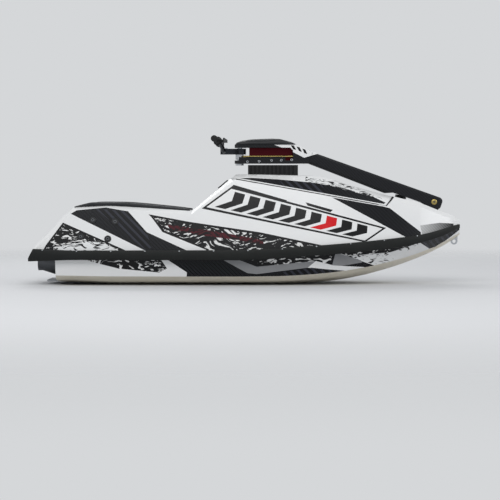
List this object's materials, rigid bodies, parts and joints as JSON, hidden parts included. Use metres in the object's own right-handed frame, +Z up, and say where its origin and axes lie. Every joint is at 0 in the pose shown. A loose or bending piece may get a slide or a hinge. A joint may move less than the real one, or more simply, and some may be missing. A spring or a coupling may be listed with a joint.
{
  "type": "stand-up personal watercraft",
  "caption": "Stand-up personal watercraft with a decked hull, an open rider's tray, a lifting handle pole with a turning bar, and a steered jet pump at the stern.",
  "frame": {"origin": "middle of the box round the craft, on the floor that the keel pad stands on", "axes": "+X to the bow, +Y to port, +Z up"},
  "size_m": [2.24, 0.694, 0.7688],
  "materials": {
    "gelcoat": "polished white gelcoat over glass fibre",
    "bumper_rubber": "black extruded rubber",
    "foam": "black closed-cell foam",
    "black_plastic": "black moulded composite",
    "cast_metal": "satin anodised casting",
    "steel": "stainless steel",
    "brass": "gold-coloured brass",
    "grip_rubber": "black moulded rubber"
  },
  "bodies": {
    "craft": {"hull": "gelcoat", "deck": "gelcoat", "hood": "gelcoat", "bumper_port": "bumper_rubber", "bumper_starboard": "bumper_rubber", "bumper_stern": "bumper_rubber", "bumper_bow": "bumper_rubber", "tray_mat": "foam", "gunwale_pad_port": "foam", "gunwale_pad_starboard": "foam", "foot_hold_port": "black_plastic", "foot_hold_starboard": "black_plastic", "engine_block": "cast_metal", "intake_grate": "cast_metal", "ride_plate": "cast_metal", "pump_housing": "cast_metal", "pump_cone": "cast_metal", "pole_bracket": "cast_metal", "pole_rest": "grip_rubber", "tow_eye": "steel", "filler_cap": "black_plastic", "hood_latch": "grip_rubber", "drain_plugs": "black_plastic"},
    "impeller": {"impeller": "steel", "impeller_shaft": "steel"},
    "nozzle": {"steering_nozzle": "cast_metal"},
    "pole": {"pole_beam": "black_plastic", "pivot_bolt": "brass", "pole_head": "black_plastic", "head_spine": "cast_metal", "chin_pad": "foam", "cable_rod": "brass"},
    "bars": {"steering_stem": "steel", "steering_arm": "steel", "bar_clamp": "cast_metal", "handlebar": "cast_metal", "grip_port": "grip_rubber", "grip_starboard": "grip_rubber", "throttle_lever": "black_plastic", "switch_box": "black_plastic"}
  },
  "joints": [
    {"name": "pole_lift", "type": "hinge", "parent": "craft", "child": "pole", "pos_m": [0.981, 0, 0.427], "axis": [0, 1, 0], "range_deg": [0, 75]},
    {"name": "bar_turn", "type": "hinge", "parent": "pole", "child": "bars", "pos_m": [-0.04032, 0, 0.68], "axis": [0, 0, 1], "range_deg": [-40, 40]},
    {"name": "nozzle_steer", "type": "hinge", "parent": "craft", "child": "nozzle", "pos_m": [-0.985, 0, 0.11], "axis": [0, 0, 1], "range_deg": [-22, 22]},
    {"name": "impeller_spin", "type": "hinge", "parent": "craft", "child": "impeller", "pos_m": [-0.77, 0, 0.11], "axis": [1, 0, 0], "continuous": true}
  ],
  "couplings": [
    {"joint": "nozzle_steer", "follows": "bar_turn", "ratio": -0.55}
  ]
}
